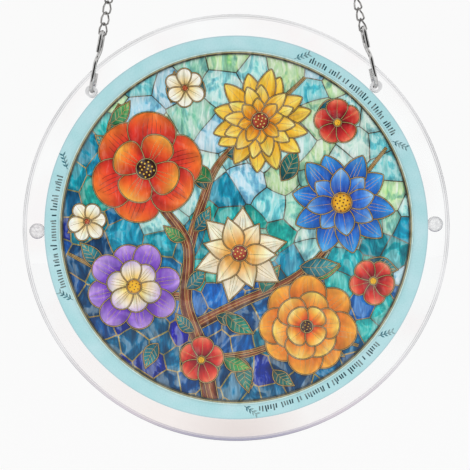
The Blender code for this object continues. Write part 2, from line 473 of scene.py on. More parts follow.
def clear_silicone(middle, radius):
    """Moulded clear silicone: soft gloss, mottled body and painted shade in a darker ring round its
    foot.
    """
    material, tree, shader = new_material("clear_silicone", {
        "Roughness": 0.10, "IOR": 1.41, "Transmission Weight": 1.0,
    })
    facets = node(
        tree, "ShaderNodeTexVoronoi", {"Scale": 1.0, "Vector": millimetres(tree)}
    ).outputs["Distance"]
    body = ramp(tree, facets, (0.1, "#FBFBFB"), (0.5, "#ECECED"), (0.8, "#D8D8DA"))
    # Painted shade: a darker ring round the pad's foot, where the dome's edge looks dark.
    reach = radius / MM
    ring = spread(tree, from_point(tree, middle), 0.0, 0.85, 0.70 * reach, 0.86 * reach)
    settle_node(shader, {"Base Color": blend(tree, ring, body, rgba("#BDBDC0"))})
    relief(tree, shader, facets, 0.00025, 0.6)
    return material


# Clear disc and its pads

def add_countersunk_drill(centre):
    """Add the cutter for one hanging hole: a drum that flares at both faces of the disc."""
    bore = hole_radius - HOLE_CHAMFER
    drill = add_drum(bore, 2 * (half_thickness - HOLE_CHAMFER), HOLE_SEGMENTS, centre)
    flare = (hole_radius + DRILL_REACH) / bore
    for way in (-1, 1):
        bpy.ops.object.mode_set(mode="EDIT")
        bpy.ops.mesh.select_mode(type="FACE")
        bpy.ops.mesh.select_all(action="DESELECT")
        bpy.ops.object.mode_set(mode="OBJECT")
        for face in drill.data.polygons:
            face.select = face.normal.y * way > 0.9
        bpy.ops.object.mode_set(mode="EDIT")
        bpy.ops.mesh.extrude_region_move(
            TRANSFORM_OT_translate={"value": (0, way * (HOLE_CHAMFER + DRILL_REACH), 0)}
        )
        bpy.ops.transform.resize(value=(flare, 1, flare), center_override=centre)
        bpy.ops.object.mode_set(mode="OBJECT")
    return drill


def make_disc():
    """Turn the clear disc: rounded polished edge and two drilled holes."""
    disc = add_drum(disc_radius, 2 * half_thickness, DISC_SEGMENTS, disc_centre)
    for material in (cast_acrylic(), polished_edge(), drilled_acrylic(), milky_wall()):
        disc.data.materials.append(material)
    apply_modifier(
        disc, "BEVEL", width=EDGE_ROUND, segments=EDGE_STEPS, limit_method="ANGLE",
        angle_limit=math.radians(60),
    )
    for side in (-1, 1):
        centre = Vector((side * hole_centre.x, disc_centre.y, hole_centre.z))
        drill = add_countersunk_drill(centre)
        apply_modifier(disc, "BOOLEAN", operation="DIFFERENCE", object=drill)
        bpy.data.objects.remove(drill)
    for face in disc.data.polygons:
        out = Vector((face.center.x, 0, face.center.z - disc_centre.z)).length
        if abs(face.normal.y) > 0.999:
            face.material_index = 0
        elif out > disc_radius - 1.5 * EDGE_ROUND:
            face.material_index = 3 if abs(face.normal.y) < 0.01 else 1
        else:
            face.material_index = 2
    shade_smooth(disc, 40.0)
    even_flats(disc)
    return finish_piece(disc, "clear_disc", "clear_acrylic", "acrylic_disc")


def make_pad(side, name):
    """Mould one clear pad on the disc's back."""
    low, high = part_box(f"{name}_bumper")
    middle = (low + high) / 2
    radius = (high.x - low.x) / 2
    pad = add_drum(radius, high.y - low.y, PAD_SEGMENTS, middle)
    pad.data.materials.append(clear_silicone(middle, radius))
    apply_modifier(pad, "BEVEL", width=PAD_ROUND, segments=EDGE_STEPS, limit_method="ANGLE")
    shade_smooth(pad)
    even_flats(pad)
    finish_piece(pad, f"{name}_pad", "clear_silicone", f"{name}_bumper")


def make_panel():
    """Cut the thin printed sheet."""
    centre = (panel_low + panel_high) / 2
    panel = add_drum(print_radius, panel_high.y - panel_low.y, DISC_SEGMENTS, centre)
    panel.data.materials.append(border_ink())
    shade_smooth(panel)
    return finish_piece(panel, "print_sheet", "printed_film", "printed_panel")


# Flat picture

class FlatPrint:
    """Flat faces of a print, in millimetres from the disc's centre, with a colour at each point."""

    def __init__(self):
        self.points = []
        self.colours = []
        self.marbling = []
        self.faces = []

    def add_points(self, places, level, colours):
        """Add points on one layer and return the number of the first."""
        first = len(self.points)
        for place, colour in zip(places, colours):
            self.points.append((place[0], level, place[1]))
            self.colours.append(colour)
            self.marbling.append(MARBLE_PANES if level < 4 else MARBLE_REST)
        return first

    def patch(self, outline, level, colour):
        """Fill an outline with one colour."""
        first = self.add_points(outline, level, [colour] * len(outline))
        self.faces.append(list(range(first, first + len(outline))))

    def grid(self, rows, level, colours):
        """Fill rows of points, all as long, with a colour at each point."""
        width = len(rows[0])
        first = self.add_points(
            [p for row in rows for p in row], level, [c for row in colours for c in row]
        )
        for j in range(len(rows) - 1):
            for i in range(width - 1):
                corner = first + j * width + i
                self.faces.append([corner, corner + 1, corner + width + 1, corner + width])

    def pane(self, outline, level, rim, heart):
        """Fill a rounded outline, shaded from its rim to its heart."""
        middle = mean_point(outline)
        inner = [between(p, middle, 0.4) for p in outline]
        rim_first = self.add_points(outline, level, [rim] * len(outline))
        inner_first = self.add_points(inner, level, [heart] * len(outline))
        centre = self.add_points([middle], level, [heart])
        count = len(outline)
        for i in range(count):
            j = (i + 1) % count
            self.faces.append([rim_first + i, rim_first + j, inner_first + j, inner_first + i])
            self.faces.append([inner_first + i, inner_first + j, centre])

    def ribbon(self, path, level, width, colour, closed=False):
        """Draw a line of one colour. Its width is a number, or one for each point."""
        count = len(path)
        widths = width if isinstance(width, list) else [width] * count
        sides = []
        for i, point in enumerate(path):
            before = path[(i - 1) % count] if closed or i > 0 else point
            after = path[(i + 1) % count] if closed or i < count - 1 else point
            run = Vector(after) - Vector(before)
            out = Vector((-run.y, run.x)).normalized() * widths[i] / 2
            sides.append(((point[0] + out.x, point[1] + out.y), (point[0] - out.x, point[1] - out.y)))
        first = self.add_points([p for pair in sides for p in pair], level, [colour] * (2 * count))
        for i in range(count if closed else count - 1):
            a = first + 2 * i
            b = first + 2 * ((i + 1) % count)
            self.faces.append([a, a + 1, b + 1, b])

    def came(self, path, level, closed=False, share=1.0):
        """Draw a lead line: a dark line with a fine gilt one on it."""
        self.ribbon(path, level, LINE_DARK * share, line_dark, closed)
        self.ribbon(path, level + 1, LINE_GOLD * share, line_gilt, closed)

    def lay(self, name, surface, outward, step, material):
        """Turn the print to a mesh whose layers rise from a surface by a step each."""
        mesh = bpy.data.meshes.new(name)
        faces = []
        for face in self.faces:
            area = sum(
                self.points[a][0] * self.points[b][2] - self.points[b][0] * self.points[a][2]
                for a, b in zip(face, face[1:] + face[:1])
            )
            faces.append(face if (area > 0) == (outward < 0) else face[::-1])
        mesh.from_pydata([
            (x * MM, surface + outward * level * step * MM, disc_centre.z + z * MM)
            for x, level, z in self.points
        ], [], faces)
        ink = mesh.color_attributes.new("ink", "FLOAT_COLOR", "POINT")
        ink.data.foreach_set("color", [
            part for colour, share in zip(self.colours, self.marbling) for part in (*colour, share)
        ])
        mesh.materials.append(material)
        return add_object(name, mesh)


PICTURE_RIM = (
    (PICTURE_RADIUS - 0.32, 0.64, linear("#45443A")),
    (PICTURE_RADIUS + 0.12, 0.24, linear("#B9A878")),
    (PICTURE_RADIUS + 0.36, 0.24, linear("#7F8A80")),
    (PICTURE_RADIUS + 0.66, 0.36, linear("#CFE8E2")),
)
line_dark = linear("#33231E")
line_gilt = linear("#D6B272")
pane_line = linear("#5F5142")
draw = random.Random(7)


def mean_point(outline):
    """Return the middle of an outline's points."""
    return (sum(p[0] for p in outline) / len(outline), sum(p[1] for p in outline) / len(outline))


def between(a, b, share):
    """Return what lies a share of the way from a to b, for points and colours."""
    return tuple(p + (q - p) * share for p, q in zip(a, b))


def shaded(colour, factor):
    """Return a colour made lighter or darker."""
    return tuple(min(1.0, part * factor) for part in colour)


def polar(centre, angle, distance):
    """Return the point at an angle and distance from a centre."""
    return (centre[0] + distance * math.cos(angle), centre[1] + distance * math.sin(angle))


def ring_points(centre, radius, count):
    """Return points round a circle."""
    return [polar(centre, 2 * math.pi * i / count, radius) for i in range(count)]


def blend_along(colours, share):
    """Return the colour a share of the way along a list of colours."""
    place = min(max(share, 0.0), 1.0) * (len(colours) - 1)
    start = min(int(place), len(colours) - 2)
    return between(colours[start], colours[start + 1], place - start)


def shades(*codes):
    """Turn hex codes to a list of colours."""
    return [linear(code) for code in codes]


def smooth_route(places, steps=8):
    """Return points on a smooth curve through the places."""
    route = []
    padded = [places[0], *places, places[-1]]
    for a, b, c, d in zip(padded, padded[1:], padded[2:], padded[3:]):
        for i in range(steps):
            t = i / steps
            route.append(tuple(
                0.5 * (2 * q + (r - p) * t + (2 * p - 5 * q + 4 * r - s) * t**2
                       + (3 * q - p - 3 * r + s) * t**3)
                for p, q, r, s in zip(a, b, c, d)
            ))
    route.append(places[-1])
    return route


# Background panes

PANE_GAP = 7.6
PANE_REACH = 22
RIM_CORNERS = 96
PANE_TRIES = 4000
PANE_LINE = 0.14
PANE_EDGE = 0.05
PANE_STEP = 1.8

sky_glass = shades("#C6E8E2", "#A9DCDC", "#DDF0E6", "#98D2D6", "#BDE2CE", "#C4E0EC", "#D3E8C0")
sea_glass = shades("#46A6AC", "#2592A0", "#66BCB6", "#17809A", "#4FB0A2", "#339FBC", "#86CBB6")
deep_glass = shades("#0A6C9C", "#0E62A0", "#0A7D98", "#15589C", "#0C4A80", "#1290A2", "#2268B8")
night_glass = shades("#134C8A", "#343E92", "#0E4874", "#4E48A8", "#0B5C84", "#10668E")


def scatter_panes():
    """Return panes as a middle and a pull, scattered so that none crowd each other."""
    panes = []
    for _ in range(PANE_TRIES):
        reach = (PICTURE_RADIUS + 3) * math.sqrt(draw.random())
        spot = polar((0, 0), draw.uniform(0, 2 * math.pi), reach)
        gap = PANE_GAP * (0.85 + 0.4 * (spot[1] + PICTURE_RADIUS) / (2 * PICTURE_RADIUS))
        if all(math.dist(spot, other) > gap for other, _ in panes):
            panes.append((spot, draw.uniform(0.0, 0.55) * gap**2))
    return panes


def cut_outline(outline, point, normal):
    """Keep the side of an outline that lies behind a line."""
    kept = []
    for a, b in zip(outline, outline[1:] + outline[:1]):
        depth_a = (a[0] - point[0]) * normal[0] + (a[1] - point[1]) * normal[1]
        depth_b = (b[0] - point[0]) * normal[0] + (b[1] - point[1]) * normal[1]
        if depth_a <= 0:
            kept.append(a)
        if depth_a * depth_b < 0:
            kept.append(between(a, b, depth_a / (depth_a - depth_b)))
    return kept


def sway(point):
    """Move a point a little with its place, so that edges curve. The rim stays round."""
    x, z = point
    hold = max(0.0, 1 - (math.hypot(x, z) / (PICTURE_RADIUS - 1)) ** 4)
    return (
        x + hold * (1.5 * math.sin(z / 5.3 + 0.6) + 0.8 * math.sin(x / 3.6 + z / 4.1)),
        z + hold * (1.5 * math.sin(x / 5.9 + 1.9) + 0.8 * math.sin(x / 4.3 - z / 3.7)),
    )


def pane_outline(pane, panes, inset):
    """Return a pane's outline among the others, drawn in by an inset and swayed."""
    middle, pull = pane
    outline = [polar(middle, math.radians(a), PANE_REACH) for a in (45, 135, 225, 315)]
    for other, other_pull in panes:
        apart = math.dist(middle, other)
        if 0 < apart < 2 * PANE_REACH and outline:
            normal = ((other[0] - middle[0]) / apart, (other[1] - middle[1]) / apart)
            share = 0.5 + (pull - other_pull) / (2 * apart**2) - inset / apart
            outline = cut_outline(outline, between(middle, other, share), normal)
    for i in range(RIM_CORNERS):
        angle = 2 * math.pi * i / RIM_CORNERS
        edge = polar((0, 0), angle, PICTURE_RADIUS - inset)
        if outline:
            outline = cut_outline(outline, edge, (math.cos(angle), math.sin(angle)))
    fine = []
    for a, b in zip(outline, outline[1:] + outline[:1]):
        steps = max(1, round(math.dist(a, b) / PANE_STEP))
        fine += [sway(between(a, b, i / steps)) for i in range(steps)]
    return fine


def pane_colour(x, z):
    """Return a pane's glass: pale sky above, sea green at the sides, deep blue below and left."""
    depth = 0.42 - z / 95 - x / 260 + draw.uniform(-0.16, 0.16)
    depth += 0.34 * max(0.0, (math.hypot(x, z) - 34) / 27) * (0.6 - x / 120)
    if depth < 0.40:
        glass = sky_glass
    elif depth < 0.60:
        glass = sea_glass
    elif depth < 0.95:
        glass = deep_glass
    else:
        glass = night_glass
    return shaded(draw.choice(glass), draw.uniform(0.88, 1.1)), depth


def draw_background(art):
    """Fill the picture with panes of marbled glass between fine lines."""
    art.patch(ring_points((0, 0), PICTURE_RADIUS, RIM_CORNERS), 1, pane_line)
    panes = scatter_panes()
    for pane in panes:
        outline = pane_outline(pane, panes, PANE_EDGE)
        glass = pane_outline(pane, panes, PANE_LINE + PANE_EDGE)
        if len(glass) > 2:
            colour, depth = pane_colour(*mean_point(glass))
            art.patch(outline, 2, line_gilt if depth > 0.6 else pane_line)
            art.pane(glass, 3, shaded(colour, 0.78), shaded(colour, 1.08))


# Branches, leaves and blossoms

bark = shades("#5E2B24", "#8A4A32", "#3E1F1C", "#7A3A2A", "#A05F3E")


def draw_branch(art, places, widths, level):
    """Draw a branch in long streaks of brown glass."""
    route = smooth_route(places)
    count = len(route)
    strips = 5
    streaks = [draw.choice(bark) for _ in range(strips + 1)]
    rows, colours = [], []
    for i, point in enumerate(route):
        before = Vector(route[max(i - 1, 0)])
        after = Vector(route[min(i + 1, count - 1)])
        run = (after - before).normalized()
        half = (widths[0] + (widths[1] - widths[0]) * i / (count - 1)) / 2
        row = [
            (point[0] - run.y * half * u, point[1] + run.x * half * u)
            for u in (2 * s / strips - 1 for s in range(strips + 1))
        ]
        rows.append(row)
        colours.append([shaded(c, draw.uniform(0.75, 1.25)) for c in streaks])
    art.grid(rows, level, colours)
    for edge in (0, -1):
        art.came([row[edge] for row in rows], level + 1)
    for share in (0.35, 0.62):
        vein = [between(row[0], row[-1], share + 0.1 * math.sin(i / 3)) for i, row in enumerate(rows)]
        art.ribbon(vein, level + 1, 0.14, line_gilt)


def profile(shape, v):
    """Return a petal's half width at a share of its length, as a share of its greatest."""
    if shape == "round":
        return math.sin(math.pi * v**1.6) ** 0.5
    if shape == "spoon":
        return math.sin(math.pi * v**1.2) ** 0.75
    return math.sin(math.pi * v**0.82) ** 1.15


def draw_petal(art, root, angle, length, width, shape, colours, level, bend, veins, ruffle=0.0):
    """Draw one petal: streaked glass, fine veins and a lead line round it."""
    across, along = 8, 12
    streaks = [draw.uniform(0.78, 1.18) for _ in range(across + 1)]

    def place(u, v):
        half = width / 2 * profile(shape, v)
        turn = angle + bend * v
        reach = length * v * (1 + ruffle * math.cos(2 * math.pi * u) * 4 * v * (1 - v))
        middle = polar(root, turn, reach)
        return polar(middle, turn + math.pi / 2, u * half)

    rows, tints = [], []
    for j in range(along + 1):
        v = math.sin(math.pi / 2 * j / along)
        row = [place(2 * i / across - 1, v) for i in range(across + 1)]
        tint = []
        for i in range(across + 1):
            u = 2 * i / across - 1
            light = streaks[i] * (1.08 - 0.30 * abs(u) ** 3) * draw.uniform(0.93, 1.07)
            tint.append(shaded(blend_along(colours, v + 0.10 * (streaks[i] - 1)), light))
        rows.append(row)
        tints.append(tint)
    art.grid(rows, level, tints)
    outline = [row[0] for row in rows] + [row[-1] for row in rows[-2:0:-1]]
    for i in range(veins):
        u = 1.3 * ((i + 1) / (veins + 1) - 0.5)
        reach = 0.90 - 0.35 * abs(u)
        vein = [place(u * (0.5 + 0.5 * v), v) for v in (0.05 + reach * k / 8 for k in range(9))]
        widths = [0.24 - 0.018 * k for k in range(9)]
        art.ribbon(vein, level + 1, widths, line_dark)
        if veins < 4:
            art.ribbon(vein, level + 2, 0.09, line_gilt)
    art.came(outline, level + 1, closed=True)


def draw_blossom(art, centre, turn, rings, heart, level):
    """Draw a blossom, ring by ring from the outer petals to its heart."""
    for ring in rings:
        count = ring["count"]
        paired = count - count % 2
        for petals in (range(0, paired, 2), range(1, paired, 2), range(paired, count)):
            for k in petals:
                angle = turn + 2 * math.pi * (k + ring["offset"]) / count
                angle += draw.uniform(-0.05, 0.05)
                length = ring["length"] * draw.uniform(0.94, 1.06)
                draw_petal(
                    art, centre, angle, length, ring["width"] * draw.uniform(0.95, 1.05),
                    ring["shape"], ring["colours"], level, draw.uniform(-0.12, 0.12),
                    ring["veins"], ring["ruffle"],
                )
            level += 3 if petals else 0
    radius, colours, seeds = heart
    outline = ring_points(centre, radius, 20)
    art.pane(outline, level, colours[0], colours[1])
    art.came(outline, level + 1, closed=True)
    for k in range(seeds):
        spot = polar(centre, 2.4 * k, radius * 0.82 * math.sqrt((k + 0.5) / seeds))
        art.patch(ring_points(spot, radius * 0.085, 8), level + 3, colours[2])


leaf_glass = [
    shades("#0F4F4C", "#1C7A68", "#2F9A80"),
    shades("#123E46", "#17635F", "#2B8C7A"),
    shades("#1B5B3A", "#3C8E56", "#7DB86A"),
    shades("#0D4658", "#14707C", "#3AA0A0"),
]


def draw_leaf(art, root, angle, length, width, placed, bend=0.25):
    """Draw one leaf with a midrib and side veins, short enough to stay in the picture.

    Placed lists the leaves so far. The new one takes the lowest layer that is free there.
    """
    colours = draw.choice(leaf_glass)
    while math.hypot(*polar(root, angle + bend, length)) > PICTURE_RADIUS - 2.0:
        length, width = 0.92 * length, 0.95 * width
    if length < SHORTEST_LEAF:
        return
    middle = polar(root, angle + bend / 2, length / 2)
    taken = [
        slot for spot, reach, slot in placed if math.dist(spot, middle) < reach + length / 2
    ]
    slot = next(k for k in range(len(taken) + 1) if k not in taken)
    placed.append((middle, length / 2, slot))
    level = LEAF_LEVEL + 3 * slot
    draw_petal(art, root, angle, length, width, "lance", colours, level, bend, 1)
    for k in range(1, 6):
        v = 0.12 + 0.13 * k
        half = width / 2 * profile("lance", min(v + 0.14, 0.98))
        start = polar(root, angle + bend * v, length * v)
        turn = angle + bend * (v + 0.14)
        tip = polar(root, turn, length * (v + 0.14))
        for side in (-1, 1):
            art.ribbon([start, polar(tip, turn + side * math.pi / 2, 0.82 * half)],
                       level + 1, 0.12, line_gilt)


def petals(count, length, width, shape, *codes, offset=0.0, ruffle=0.0, veins=3):
    """Describe one ring of a blossom's petals, with their colours from root to tip."""
    return {
        "count": count, "length": length, "width": width, "shape": shape, "offset": offset,
        "ruffle": ruffle, "veins": veins, "colours": shades(*codes),
    }


poppy = [
    petals(6, 19, 17, "round", "#5E1116", "#B3161C", "#E2392A", "#F0792F", ruffle=0.03, veins=5),
    petals(4, 12.5, 12, "round", "#8E1419", "#D9261F", "#F2682C", "#F8B14A", offset=0.5),
]
dahlia = [
    petals(14, 17.5, 6.6, "spoon", "#B4531A", "#E58A1E", "#F6B935", "#FBDC70", veins=1),
    petals(12, 12.5, 5.4, "spoon", "#A8401A", "#E2771D", "#F9C548", "#FCE79A", offset=0.5, veins=1),
    petals(8, 8, 4.6, "spoon", "#8F3418", "#D0621B", "#F0A52E", "#F9CE62", veins=1),
]
aster = [
    petals(10, 18, 8.8, "spoon", "#0C1E4E", "#123B93", "#1F66C8", "#4FA6E2"),
    petals(8, 12, 6.8, "spoon", "#101B54", "#1F3FA6", "#3D7BD6", "#9CCBF0", offset=0.5, veins=1),
]
lily = [
    petals(6, 17, 9.5, "lance", "#C86A22", "#F2C887", "#FBF0D8", "#F7E6C4"),
    petals(6, 13, 7.5, "lance", "#B85A1E", "#F0A94F", "#FBE3B4", "#FDF6E4", offset=0.5, veins=1),
]
iris = [
    petals(8, 15.5, 10, "round", "#2B1858", "#5A2C9C", "#8757C8", "#C6A2E6", ruffle=0.05),
    petals(6, 9.5, 7.5, "round", "#F0A62B", "#F6D079", "#EFE2D2", "#B79AD8", offset=0.5),
]
rose = [
    petals(8, 17, 13, "round", "#7C2A14", "#C24A1D", "#E87A28", "#F6AE48"),
    petals(6, 12.2, 11, "round", "#9A2F16", "#D9481F", "#F29036", "#FAD26E", offset=0.5),
    petals(4, 7.4, 8, "round", "#A8251B", "#DE4A24", "#F6A23C", "#FBE08A", veins=1),
]
crimson = [
    petals(5, 8, 7.4, "round", "#4E0C16", "#9C1522", "#D63A34", "#F08A6A", veins=1),
]
cream = [
    petals(6, 7, 5.2, "round", "#C98A34", "#F3D79A", "#FCF4DE", "#FDF8EC", veins=1),
]
dark_heart = shades("#1C1418", "#4A2A20", "#F0C050")
gold_heart = shades("#A45A14", "#F4B62C", "#5A2A14")
wine_heart = shades("#5A1A28", "#B04A30", "#F8DC82")

BLOSSOMS = (
    ((-31, 21), 0.3, poppy, (3.6, dark_heart, 16)),
    ((9, 37), 0.1, dahlia, (3.0, wine_heart, 12)),
    ((37, 8), 0.5, aster, (3.6, gold_heart, 16)),
    ((-36, -20), 0.2, iris, (2.6, gold_heart, 10)),
    ((1, -9), 0.35, lily, (2.8, wine_heart, 10)),
    ((24, -35), 0.7, rose, (2.2, dark_heart, 8)),
    ((-13, -46), 0.2, crimson, (1.4, gold_heart, 6)),
    ((47.5, -19.5), 0.9, crimson, (1.4, gold_heart, 6)),
    ((-17, 49), 0.6, cream, (1.2, wine_heart, 6)),
    ((-52, 3), 0.1, cream, (1.2, wine_heart, 6)),
    ((36, 36), 0.4, crimson, (1.4, gold_heart, 6)),
)
BRANCHES = (
    (((-10, -60), (-13, -42), (-18, -26), (-17, -6), (-26, 8), (-33, 20)), (5.6, 2.0)),
    (((-17, -8), (-12, 8), (-6, 22), (8, 36), (25, 52)), (3.6, 0.7)),
    (((-15, -34), (2, -26), (20, -18), (33, -6), (40, 10), (53, 27)), (4.0, 0.7)),
    (((-18, -24), (-30, -22), (-44, -16), (-59, -8)), (2.8, 0.7)),
    (((-12, -46), (4, -44), (24, -38), (42, -42)), (3.0, 0.7)),
    (((-26, 8), (-38, 24), (-44, 34), (-40, 44)), (2.4, 0.6)),
)
LEAVES = (
    (-33, 41, 2.4, 14, 7), (-47, 32, 2.6, 11, 6), (-10, 46, 2.3, 14, 7), (-22, 44, 1.2, 12, 6),
    (29, 40, 0.1, 16, 8), (26, 48, 0.7, 11, 5.5), (50, 24, 1.3, 14, 7), (53, -4, -0.9, 12, 6),
    (46, -12, -0.6, 13, 7), (22, -14, -0.2, 14, 7), (16, 16, 0.9, 13, 6.5), (-50, 4, 3.4, 11, 6),
    (-50, -28, 4.0, 13, 6.5), (-28, -40, -2.3, 15, 7), (-4, -30, -0.9, 12, 6), (2, -46, -1.7, 13, 6.5),
    (44, -34, 0.0, 12, 6), (12, -50, -0.9, 11, 5.5), (-8, 16, 2.4, 12, 6), (-38, -38, -2.6, 12, 6),
)
BRANCH_LEAF_STEP = 7
LEAF_LEVEL = 22
BLOSSOM_LEVEL = 43
RIM_LEVEL = 71
SHORTEST_LEAF = 7.0


def draw_branch_leaves(art, places, placed):
    """Draw leaves along a branch, on alternate sides."""
    route = smooth_route(places)
    for k, i in enumerate(range(4, len(route) - 4, BRANCH_LEAF_STEP)):
        run = math.atan2(route[i + 1][1] - route[i][1], route[i + 1][0] - route[i][0])
        side = 1 if k % 2 else -1
        length = draw.uniform(9, 13)
        draw_leaf(art, route[i], run + side * draw.uniform(0.6, 1.0), length, 0.5 * length,
                  placed, -0.3 * side)


def draw_picture(art):
    """Draw the round picture: blossoms on branches before panes of glass."""
    draw_background(art)
    for k, (places, widths) in enumerate(reversed(BRANCHES)):
        draw_branch(art, places, widths, 4 + 3 * k)
    placed = []
    for places, widths in BRANCHES:
        draw_branch_leaves(art, places, placed)
    for x, z, angle, length, width in LEAVES:
        draw_leaf(art, (x, z), angle, length, width, placed)
    for centre, turn, rings, heart in BLOSSOMS:
        draw_blossom(art, centre, turn, rings, heart, BLOSSOM_LEVEL)
    for radius, width, colour in PICTURE_RIM:
        art.ribbon(ring_points((0, 0), radius, 128), RIM_LEVEL, width, colour, closed=True)


# Border strokes and sprigs

STROKE_RADIUS = 63.9
STROKE_FOOT = 0.95
STROKE_WIDTH = 0.50
STROKE_PITCH = 0.98
STROKE_HEIGHTS = (1.6, 1.6, 1.6, 2.3, 2.0)
STROKE_ARCS = ((65.0, 28.5), (198.0, 160.5), (276.5, 321.0))
stroke_ink = linear("#25474F")
sprig_ink = linear("#6A8A90")


def draw_strokes(art, start, end):
    """Draw rows of short upright strokes along the border, in groups, that spell nothing."""
    pitch = math.degrees(STROKE_PITCH / STROKE_RADIUS)
    count = int(abs(end - start) / pitch)
    for i in range(count):
        if i % 9 == 7 or i % 14 == 13:
            continue
        angle = math.radians(start + math.copysign(pitch * i, end - start))
        tall = draw.choice(STROKE_HEIGHTS)
        foot = polar((0, 0), angle, STROKE_RADIUS - STROKE_FOOT)
        head = polar((0, 0), angle + draw.uniform(-0.004, 0.004), STROKE_RADIUS - STROKE_FOOT + tall)
        art.ribbon([foot, head], 1, STROKE_WIDTH, stroke_ink)


def draw_sprig(art, degrees, lean_way):
    """Draw a small leafy sprig across the border."""
    angle = math.radians(degrees)
    foot = polar((0, 0), angle - lean_way * 0.034, STROKE_RADIUS - 1.5)
    tip = polar((0, 0), angle + lean_way * 0.034, STROKE_RADIUS + 1.9)
    art.ribbon([foot, tip], 1, 0.26, sprig_ink)
    run = math.atan2(tip[1] - foot[1], tip[0] - foot[0])
    for k in range(4):
        for side in (-1, 1):
            root = between(foot, tip, 0.15 + 0.24 * k)
            turn = run + side * 0.7
            leaf = [root]
            for u, v in ((0.32, 0.5), (0.0, 1.0), (-0.32, 0.5)):
                leaf.append(polar(polar(root, turn, 1.8 * v), turn + math.pi / 2, u))
            art.patch(leaf, 1, sprig_ink)


def draw_border(art):
    """Draw the border's three rows of strokes with a sprig at both ends of each."""
    for start, end in STROKE_ARCS:
        way = math.copysign(1.0, end - start)
        draw_strokes(art, start, end)
        draw_sprig(art, start - way * 3.0, way)
        draw_sprig(art, end + way * 2.5, way)


def make_prints():
    """Lay the picture and the border's strokes on the sheet's front, and on its back."""
    art = FlatPrint()
    draw_picture(art)
    draw_border(art)
    ink = picture_ink()
    for name, surface, outward, step in (
        ("front_print", panel_low.y, -1, FRONT_STEP), ("back_print", panel_high.y, 1, BACK_STEP),
    ):
        finish_piece(art.lay(name, surface, outward, step, ink), name, "printed_film")


# Wire parts

bottom_curl = half_thickness + HOOK_DISC_CLEARANCE + HOOK_WIRE / 2
top_curl = (CHAIN_WIRE + HOOK_EYE_SLACK + HOOK_WIRE) / 2
curl_rise = math.sqrt((bottom_curl - HOOK_WIRE / 2) ** 2 - half_thickness**2)
link_half_width = (HOOK_WIRE + LINK_SLACK + CHAIN_WIRE) / 2
link_half_length = (LINK_PITCH + CHAIN_WIRE) / 2
link_width = 2 * link_half_width + CHAIN_WIRE
ring_radius = (ring_high.x - ring_low.x - RING_WIRE) / 2
ring_centre = (ring_low + ring_high) / 2


def strand_lean():
    """Return how far the chains lean, from a hole to the point where they hang on the ring."""
    across = link_width / 2
    seat = ring_centre.z - math.sqrt(ring_radius**2 - across**2)
    return math.atan2(hole_centre.x - across, seat - hole_centre.z)


lean = strand_lean()
hole_distance = (hole_centre - disc_centre).xz.length
outward = (hole_centre.z - disc_centre.z) * math.cos(lean) - hole_centre.x * math.sin(lean)
rim_rise = math.sqrt(outward**2 + disc_radius**2 - hole_distance**2) - outward
hook_seat = hole_radius - TOUCH_GAP + curl_rise
crossing_start = rim_rise + TOUCH_GAP
hook_eye = crossing_start + HOOK_CROSSING
first_link = hook_eye + top_curl - HOOK_WIRE / 2 - TOUCH_GAP - CHAIN_WIRE / 2 + link_half_length


def strand_place(side):
    """Return the matrix that puts a strand, drawn straight up from zero, on its hole."""
    hole = Vector((side * hole_centre.x, disc_centre.y, hole_centre.z))
    return Matrix.Translation(hole) @ Matrix.Rotation(-side * lean, 4, "Y")


def arc(radius, height, start, end):
    """Return points on an arc in a hook's plane, with angles from straight back, upwards."""
    angles = [start + (end - start) * i / ARC_STEPS for i in range(ARC_STEPS + 1)]
    return [Vector((0, radius * math.cos(a), height + radius * math.sin(a))) for a in angles]


def hook_route():
    """Return an S-hook's centre line, from the tip behind the disc to the front tip.

    The round wire's lower curl is trimmed, so that it stays in the outline of the solids.
    """
    lower = bottom_curl - HOOK_TRIM
    crossing_rise = hook_eye - HOOK_FRONT_TIP / 2 - crossing_start
    route = [Vector((0, lower, hook_seat + HOOK_BACK_TIP))]
    route += arc(lower, hook_seat, 0.0, -math.pi)
    for i in range(CROSSING_STEPS + 1):
        share = i / CROSSING_STEPS
        across = -lower + (lower + top_curl) * (1 - math.cos(math.pi * share)) / 2
        route.append(Vector((0, across, crossing_start + crossing_rise * share)))
    route += arc(top_curl, hook_eye, 0.0, math.pi)
    route.append(Vector((0, -top_curl, hook_eye - HOOK_FRONT_TIP)))
    return route


def bend_wire(route, wire, name):
    """Bend round wire along a route and return it as a mesh with closed ends."""
    curve = bpy.data.curves.new(name, "CURVE")
    curve.dimensions = "3D"
    curve.bevel_depth = wire / 2
    curve.bevel_resolution = 4
    curve.use_fill_caps = True
    spline = curve.splines.new("POLY")
    spline.points.add(len(route) - 1)
    for point, place in zip(spline.points, route):
        point.co = (*place, 1.0)
    spline.use_smooth = True
    select_only(add_object(name, curve))
    bpy.ops.object.convert(target="MESH")
    bent = bpy.context.object
    bpy.ops.object.mode_set(mode="EDIT")
    bpy.ops.mesh.select_all(action="SELECT")
    bpy.ops.mesh.remove_doubles(threshold=0.000001)
    bpy.ops.mesh.normals_make_consistent(inside=False)
    bpy.ops.object.mode_set(mode="OBJECT")
    return bent


def make_hook(side, name, steel):
    """Bend one S-hook from round wire."""
    place = strand_place(side)
    hook = bend_wire([place @ point for point in hook_route()], HOOK_WIRE, f"{name}_hook")
    hook.data.materials.append(steel)
    shade_smooth(hook, 40.0)
    finish_piece(hook, f"{name}_hook", "plated_steel", f"{name}_s_hook")


